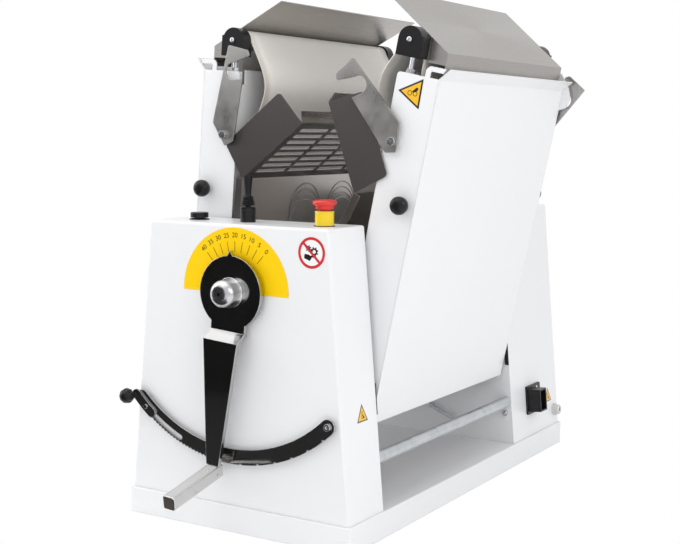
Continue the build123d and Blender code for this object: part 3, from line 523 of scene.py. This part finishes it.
def on_table(side, u, v, y):
    """Place in metres of a point given in millimetres outward and along from a table's hinge."""
    t = tilts[side]
    return (sides[side] * (hinge_x + (u * cos(t) + v * sin(t)) / 1000), y,
            hinge_z + (-u * sin(t) + v * cos(t)) / 1000)


grip = [(0, 26), (6, 26), (10.5, 25), (13.6, 22.4), (14.9, 19), (15, 14), (13.8, 9.6), (11, 7.2), (7.5, 6),
        (6, 5.6), (6, 0), (0, 0)]
for side in sides:
    x, y, z = on_table(side, 34, 371.5, -.326)
    near = spun(f"{side}_front_grip", grip, along_y(x, y, z), black_plastic, f"{side}_table")
    far = spun(f"{side}_rear_grip", grip, facing((x, .195, z), (0, 1, 0), (0, 0, 1)), black_plastic,
               f"{side}_table")
    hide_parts(f"{side}_knobs")
    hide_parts(f"{side}_knobs")

# ---- Controls on top of the front housing ------------------------------------------------------------
# Bought-in panel parts in one row: a red mushroom stop on a yellow collar, a joystick with a ribbed
# rubber boot, and a black push cap. All are moulded, with the soft edges and faint sheen of such parts.
red_plastic = finish_of("stop_red", (.66, .025, .018), .30, edge=(.72, .06, .05), edge_width=.0008, drift=.08,
                        grain_scale=1300, grain_depth=.00002, coat=.2)
yellow_plastic = finish_of("stop_yellow", (.84, .60, .012), .28, edge=(.9, .7, .1), edge_width=.0008,
                           drift=.05, grain_scale=1300, grain_depth=.00002, coat=.2)
boot_rubber = finish_of("boot_rubber", (.010, .010, .011), .50, edge=(.03, .03, .03), drift=.15,
                        grain_scale=900, grain_depth=.00005, specular=.22)
coat_nodes(yellow_plastic, "estop_base")
top_z, row_y = .5185, -.38975
stop_x, joystick_x, button_x = .1377, -.0139, -.1162


def standing(x):
    """Matrix that stands a spun piece upright on the front housing's top, in the row of controls."""
    return Matrix.Translation((x, row_y, top_z))


cap = [(0, 43), (8, 43), (15, 42.6), (18.3, 41.4), (19.7, 39.4), (20, 37.4), (19.4, 35.4), (17.6, 34.2),
       (15.4, 33.6), (15.2, 32.6), (15.2, 28.6), (14.6, 28), (9, 28), (9, .5), (0, .5)]
mushroom = spun("stop_mushroom", cap, standing(stop_x), red_plastic, "estop_head")
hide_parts("estop_head")
spun("stop_collar_lip", [(15.55, 24), (15.9, 23.6), (15.9, 22.4), (15.55, 22)], standing(stop_x),
     yellow_plastic, "frame")
spun("stop_gasket", [(15.6, 1.2), (17.2, 1.0), (17.4, 0), (15.6, 0)], standing(stop_x), boot_rubber, "frame")
boot = []
for i in range(5):
    low, wide, thin = 28 + 3.1 * i, 12.2 - .75 * i, 9.6 - .55 * i
    boot += [(thin, low), (wide - .5, low + .8), (wide, low + 1.5), (wide - .5, low + 2.2)]
handle = [(6.4, 43.7), (5.4, 46), (5.6, 52), (6.3, 60), (7.2, 70), (7.9, 77), (7.4, 79), (5.6, 79.5),
          (0, 79.5)]
stick = spun("joystick_stick", [(0, 28), (9.6, 28)] + boot + handle, standing(joystick_x), boot_rubber,
             "joystick")
spun("joystick_stem", [(5, 28.2), (5, 14), (9, 14), (8.4, 17), (5, 21)], standing(joystick_x), black_plastic,
     "joystick")
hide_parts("joystick")
coat_nodes(black_plastic, "joystick_collar", "button_cap")
for height in (6.5, 13, 19.5):
    ring = [(12.9, height + 1), (13.3, height + .5), (13.3, height - .5), (12.9, height - 1)]
    spun(f"joystick_collar_ring_{int(height)}", ring, standing(joystick_x), black_plastic, "frame")
spun("button_bezel", [(15.9, 1.6), (17, 1.4), (17.4, .8), (17.4, 0), (15.9, 0), (15.9, 1.6)],
     standing(button_x), black_plastic, "frame")

# ---- Rollers, scraper and what carries them ----------------------------------------------------------
# Hard-chromed steel rollers in cast bearing blocks, a folded stainless scraper hood, and two
# stainless bridge plates. The blocks and cams sit inside the housings; the blocks are dark with grease.
roller_chrome = finish_of("roller_chrome", (.70, .70, .71), .16, metal=1, edge=(.85, .85, .85), drift=.12,
                          drift_scale=22, grain_scale=700, grain_depth=.00002)
cast_iron = finish_of("greased_cast_iron", (.07, .07, .07), .42, metal=.8, drift=.4, drift_scale=60,
                      grain_scale=400, grain_depth=.0002)
coat_nodes(roller_chrome, "upper_roller", "lower_roller", "left_drive_roller", "right_drive_roller")
coat_nodes(cast_iron, "bearing_blocks")


def brushed_group():
    """Long fine scratches, along Y unless told otherwise, for stainless sheet."""
    tree, gin, gout = group("brushed_lines", [("Along", VECTOR, (1400, 12, 1400)), ("Contrast", FLOAT, .2)],
                            [("Height", FLOAT), ("Roughness Shift", FLOAT)])
    new, link = tree.nodes.new, tree.links.new
    place, size, lines = new("ShaderNodeTexCoord"), new("ShaderNodeVectorMath"), new("ShaderNodeTexNoise")
    size.operation = "MULTIPLY"
    lines.inputs["Scale"].default_value = 1
    lines.inputs["Detail"].default_value = 3
    centred, scaled = new("ShaderNodeMath"), new("ShaderNodeMath")
    centred.operation, scaled.operation = "SUBTRACT", "MULTIPLY"
    centred.inputs[1].default_value = .5
    link(place.outputs["Object"], size.inputs[0])
    link(gin.outputs["Along"], size.inputs[1])
    link(size.outputs[0], lines.inputs["Vector"])
    link(lines.outputs["Fac"], gout.inputs["Height"])
    link(lines.outputs["Fac"], centred.inputs[0])
    link(centred.outputs[0], scaled.inputs[0])
    link(gin.outputs["Contrast"], scaled.inputs[1])
    link(scaled.outputs[0], gout.inputs["Roughness Shift"])
    return tree


brushed_lines = brushed_group()


def stainless(name, colour, roughness, edge, contrast=.25, along=(1400, 12, 1400), **more):
    """Stainless sheet: the worn finish with fine lines laid over it."""
    made = finish_of(name, colour, roughness, metal=1, edge=edge, edge_roughness=.2, **more)
    tree = made.node_tree
    shader = tree.nodes["Principled BSDF"]
    lines = tree.nodes.new("ShaderNodeGroup")
    lines.node_tree = brushed_lines
    lines.inputs["Along"].default_value = along
    lines.inputs["Contrast"].default_value = contrast
    add = tree.nodes.new("ShaderNodeMath")
    add.operation = "ADD"
    finish = next(n for n in tree.nodes if n.type == "GROUP" and n.node_tree == worn)
    bump = next(n for n in tree.nodes if n.type == "BUMP")
    tree.links.new(finish.outputs["Roughness"], add.inputs[0])
    tree.links.new(lines.outputs["Roughness Shift"], add.inputs[1])
    tree.links.new(add.outputs[0], shader.inputs["Roughness"])
    tree.links.new(lines.outputs["Height"], bump.inputs["Height"])
    shader.inputs["Anisotropic"].default_value = .5
    return made


sheet_steel = stainless("stainless_sheet", (.50, .485, .47), .30, (.72, .71, .70), drift=.10, drift_scale=7)
coat_nodes(sheet_steel, "upper_scraper", "transfer_plates")

# ---- Cross tubes, buffers and small parts between the housings ---------------------------------------
# Two galvanised tubes tie the housings together. Black rubber buffers are clipped over the housings'
# inner edges, and the scraper's return spring hangs between two eyes.
galvanised = finish_of("galvanised_tube", (.60, .62, .64), .36, metal=1, edge=(.7, .72, .74), drift=.45,
                       drift_scale=55, grain_scale=260, grain_depth=.00006)
fastener_zinc = finish_of("fastener_zinc", (.66, .67, .70), .24, metal=1, edge=(.85, .85, .86), drift=.2,
                          drift_scale=120, grain_scale=900)
rubber = finish_of("buffer_rubber", (.012, .012, .012), .7, drift=.2, grain_scale=700, grain_depth=.00008,
                   specular=.25)
bronze = finish_of("bush_bronze", (.45, .27, .10), .34, metal=1, edge=(.6, .42, .2), drift=.25,
                   drift_scale=40)
motor_paint = finish_of("motor_paint", (.035, .05, .085), .5, edge=(.1, .12, .16), drift=.1, grain_scale=300,
                        grain_depth=.0001)
coat_nodes(galvanised, "cross_tubes")
coat_nodes(fastener_zinc, "frame_fasteners", "left_fasteners", "right_fasteners", "left_guard_shaft",
           "right_guard_shaft")
coat_nodes(rubber, "edge_pads")
coat_nodes(bronze, "hinge_bushes")
coat_nodes(motor_paint, "drive_motor")

eyes = [Vector((.039, .191, .105)), Vector((.098, .191, .081))]
eye_r, coil_r, coil_start, turns, per_turn = .0044, .0038, .0062, 19, 12
pull = (eyes[1] - eyes[0]).normalized()
aside = Vector((0, 1, 0)).cross(pull).normalized()
coil_path, length = [], (eyes[1] - eyes[0]).length - 2 * coil_start
for i in range(turns * per_turn + 1):
    a = 2 * pi * i / per_turn
    at_length = coil_start + length * i / (turns * per_turn)
    coil_path.append(eyes[0] + pull * at_length + aside * coil_r * cos(a)
                     + Vector((0, 1, 0)) * coil_r * sin(a))
for eye, toward, first in ((eyes[0], pull, True), (eyes[1], -pull, False)):
    loop = [eye + toward * eye_r * cos(radians(b)) + aside * eye_r * sin(radians(b)) * (1 if first else -1)
            for b in range(-20, 341, 20)]
    coil_path = loop[::-1] + coil_path if first else coil_path + loop
wire = bpy.data.curves.new("return_spring", "CURVE")
wire.dimensions, wire.bevel_depth, wire.bevel_resolution = "3D", .00055, 2
line = wire.splines.new("POLY")
line.points.add(len(coil_path) - 1)
for point, spot in zip(line.points, coil_path):
    point.co = (*spot, 1)
spring = bpy.data.objects.new("return_spring", wire)
wire.materials.append(fastener_zinc)
bpy.context.scene.collection.objects.link(spring)
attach(spring, "frame")
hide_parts("scraper_spring")

# ---- Mains inlet and cable gland ---------------------------------------------------------------------
# Moulded parts on the motor housing's flank: a black flanged inlet with a deep shroud and three
# brass blades, fixed by two screws, and a small pale gland lower down.
pale_plastic = finish_of("gland_pale", (.62, .62, .60), .38, edge=(.7, .7, .68), drift=.1, grain_scale=900)
coat_nodes(black_plastic, "power_inlet")
coat_nodes(pale_plastic, "cable_gland")
for z in (.0975, .1415):
    spun(f"inlet_screw_{int(z * 1000)}", [(0, 1.6), (1.6, 1.5), (3, .9), (3.4, 0), (0, 0)],
         flank(.3265, z) @ Matrix.Translation((0, 0, .004)), fastener_zinc, "frame",
         steps=24)

# ---- Guards ------------------------------------------------------------------------------------------
# Each is one folded stainless sheet with slots cut in its upper plate. The skirt and plate are
# polished; the cheeks at their ends are satin, with a painted shade: a dark colour on the faces that
# look along Y. The left skirt has two sets of pressed beads.
guard_steel = stainless("guard_stainless", (.48, .455, .435), .24, (.76, .75, .73), contrast=.14, drift=.16,
                        drift_scale=5)
# Painted shade: the faces that look along Y, the guards' end cheeks, get a near-black colour.
on_end_faces(guard_steel, (.125, .115, .113), .48)
coat_nodes(guard_steel, "left_guard", "right_guard")

guard_x, guard_z, skirt_lean = -.083, .432, radians(94.85)
skirt = Vector((-cos(skirt_lean), 0, sin(skirt_lean)))
skirt_face = Vector((skirt.z, 0, -skirt.x))
bead_r, bead_bend, bead_proud, bead_gap, first_bead = .0013, .0525, .0006, .0105, .090
arc, arc_start = radians(164), radians(8)
for group_y in (-.122, .007):
    for drop in range(4):
        bm = bmesh.new()
        across = Matrix.Translation((bead_bend, 0, 0)) @ Matrix.Rotation(pi / 2, 4, "X")
        bmesh.ops.create_circle(bm, radius=bead_r, segments=8, matrix=across)
        bmesh.ops.spin(bm, geom=bm.verts[:] + bm.edges[:], cent=(0, 0, 0), axis=(0, 0, 1), dvec=(0, 0, 0),
                       angle=arc, steps=36, use_duplicate=False)
        bmesh.ops.holes_fill(bm, edges=bm.edges[:], sides=8)
        bmesh.ops.rotate(bm, verts=bm.verts, cent=(0, 0, 0), matrix=Matrix.Rotation(arc_start, 3, "Z"))
        up_skirt = skirt * (first_bead - bead_gap * drop)
        middle = Vector((guard_x, group_y, guard_z)) + up_skirt + skirt_face * bead_proud
        bmesh.ops.transform(bm, verts=bm.verts, matrix=facing(middle, skirt_face, skirt))
        bmesh.ops.recalc_face_normals(bm, faces=bm.faces)
        bead_mesh = bpy.data.meshes.new(f"skirt_bead_{'ab'[group_y > 0]}{drop}")
        bm.to_mesh(bead_mesh)
        bead_mesh.shade_smooth()
        bead_mesh.materials.append(guard_steel)
        bead = bpy.data.objects.new(bead_mesh.name, bead_mesh)
        bpy.context.scene.collection.objects.link(bead)
        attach(bead, "left_guard")

# ---- Folding tables ----------------------------------------------------------------------------------
# White-coated side plates, panel and slider bed around a polished drive roller and an aluminium
# end roller. Moulded bearing caps slide in the ends; stainless hooks and a folded pan complete each table.
coat_nodes(white, *[f"{side}_{part}" for side in sides for part in ("side_plates", "panel", "slider_bed")])
turned_aluminium = finish_of("turned_aluminium", (.72, .73, .74), .28, metal=1, drift=.1, drift_scale=30,
                             grain_scale=900)
coat_nodes(turned_aluminium, "left_end_roller", "right_end_roller")
coat_nodes(black_plastic, "left_end_bearings", "right_end_bearings")
hook_steel = stainless("hook_stainless", (.42, .41, .395), .36, (.64, .63, .62), contrast=.2,
                       along=(900, 900, 60), drift=.40, drift_scale=28)
pan_steel = stainless("pan_stainless", (.45, .43, .41), .30, (.72, .71, .70), contrast=.18, drift=.10,
                      drift_scale=5)
coat_nodes(hook_steel, *[f"{side}_{end}_hook" for side in sides for end in ("front", "rear")])
coat_nodes(pan_steel, "left_catch_pan", "right_catch_pan")

warning_triangle("table_sign", facing((.2629, -.3262, .7330), (0, -1, 0), (-.984, 0, .178)), 48.5,
                 "right_table")

end_u, end_v = -9.0, 631.5          # the end roller's axis, from the hinge
cap_screw = [(0, 1.0), (2.1, 1.0), (2.1, 3.2), (3.6, 3.2), (4.4, 2.6), (4.4, 0), (0, 0)]
for side in sides:
    for end, y, outward in (("front", -.332, -1), ("rear", .201, 1)):
        spun(f"{side}_{end}_cap_screw", cap_screw,
             facing(on_table(side, end_u, end_v, y), (0, outward, 0), (0, 0, 1)), fastener_zinc,
             f"{side}_table", steps=24)

# ---- Belts -------------------------------------------------------------------------------------------
# Endless belts of coated cotton, 2 mm thick, cream and smooth with a faint weave. Each runs tight over
# the slider bed and hangs slack on the other side, round the drive roller and the end roller.
belt_cream = finish_of("belt_coated_cotton", (.86, .83, .79), .46, edge=(.56, .51, .45), edge_roughness=.8,
                       edge_width=.0012, drift=.10, drift_scale=6, grain_scale=300, grain_depth=.00004)
belt_tree = belt_cream.node_tree
weave_place, weave_rows = belt_tree.nodes.new("ShaderNodeTexCoord"), belt_tree.nodes.new("ShaderNodeTexWave")
weave_rows.bands_direction, weave_rows.inputs["Scale"].default_value = "Y", 500
weave_rows.inputs["Distortion"].default_value = 1.5
weave_bump = belt_tree.nodes.new("ShaderNodeBump")
weave_bump.inputs["Distance"].default_value, weave_bump.inputs["Strength"].default_value = .00003, .35
belt_shader = belt_tree.nodes["Principled BSDF"]
belt_grain = belt_shader.inputs["Normal"].links[0].from_socket
belt_tree.links.new(weave_place.outputs["Object"], weave_rows.inputs["Vector"])
belt_tree.links.new(weave_rows.outputs["Fac"], weave_bump.inputs["Height"])
belt_tree.links.new(belt_grain, weave_bump.inputs["Normal"])
belt_tree.links.new(weave_bump.outputs[0], belt_shader.inputs["Normal"])
belt_shader.inputs["Sheen Weight"].default_value = .15

# The belt's middle line, outward and along from the hinge: the radii it wraps the two rollers at, how far
# the slack side lies against the drive roller's tangent, and the angle at which it leaves the end roller.
drive_wrap, end_wrap, taut_end = 21.5, 17.5, 318.0
leaving = (-.436, -.9)
leave = pi - atan2(-leaving[0], -leaving[1])
belt_front, belt_wide, belt_steps = -.3055, .48, 16


def smooth_through(points, first, last, steps=10):
    """Smooth line through the points, with a given direction at each end, without its last point."""
    knots = [Vector(q) for q in points]
    ways = [(b - a) / 2 for a, b in zip(knots, knots[2:])]
    ways = [Vector(first) * (knots[1] - knots[0]).length, *ways,
            Vector(last) * (knots[-1] - knots[-2]).length]
    out = []
    for a, b, m, n in zip(knots, knots[1:], ways, ways[1:]):
        for t in (i / steps for i in range(steps)):
            out.append(a * (2 * t ** 3 - 3 * t * t + 1) + m * (t ** 3 - 2 * t * t + t)
                       + b * (3 * t * t - 2 * t ** 3) + n * (t ** 3 - t * t))
    return out


run = [Vector((drive_wrap * cos(a), drive_wrap * sin(a))) for a in (pi + pi * i / 24 for i in range(24))]
run += [Vector((drive_wrap, 0)).lerp(Vector((end_u + end_wrap, end_v)), i / 40) for i in range(40)]
run += [Vector((end_u + end_wrap * cos(a), end_v + end_wrap * sin(a)))
        for a in (leave * i / 24 for i in range(24))]
run += smooth_through([(end_u + end_wrap * cos(leave), end_v + end_wrap * sin(leave)), (-63.3, 560),
                       (-44.3, 487), (-27.3, 430), (-23, 385), (-drive_wrap, taut_end)], leaving, (0, -1))
run += [Vector((-drive_wrap, taut_end * (1 - i / 20))) for i in range(20)]
for side in sides:
    bm = bmesh.new()
    row = [bm.verts.new(on_table(side, u, v, belt_front)) for u, v in run]
    edges = [bm.edges.new(pair) for pair in zip(row, row[1:] + row[:1])]
    for step in range(belt_steps):
        grown = bmesh.ops.extrude_edge_only(bm, edges=edges)["geom"]
        edges = [e for e in grown if isinstance(e, bmesh.types.BMEdge) and e.is_boundary]
        bmesh.ops.translate(bm, vec=(0, belt_wide / belt_steps, 0),
                            verts=[v for v in grown if isinstance(v, bmesh.types.BMVert)])
    bmesh.ops.recalc_face_normals(bm, faces=bm.faces)
    belt_mesh = bpy.data.meshes.new(f"{side}_conveyor_belt")
    bm.to_mesh(belt_mesh)
    belt_mesh.shade_smooth()
    belt_mesh.materials.append(belt_cream)
    belt = bpy.data.objects.new(belt_mesh.name, belt_mesh)
    bpy.context.scene.collection.objects.link(belt)
    thick = belt.modifiers.new("thickness", "SOLIDIFY")
    thick.thickness, thick.offset = .002, 0
    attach(belt, f"{side}_table")
    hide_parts(f"{side}_belt")
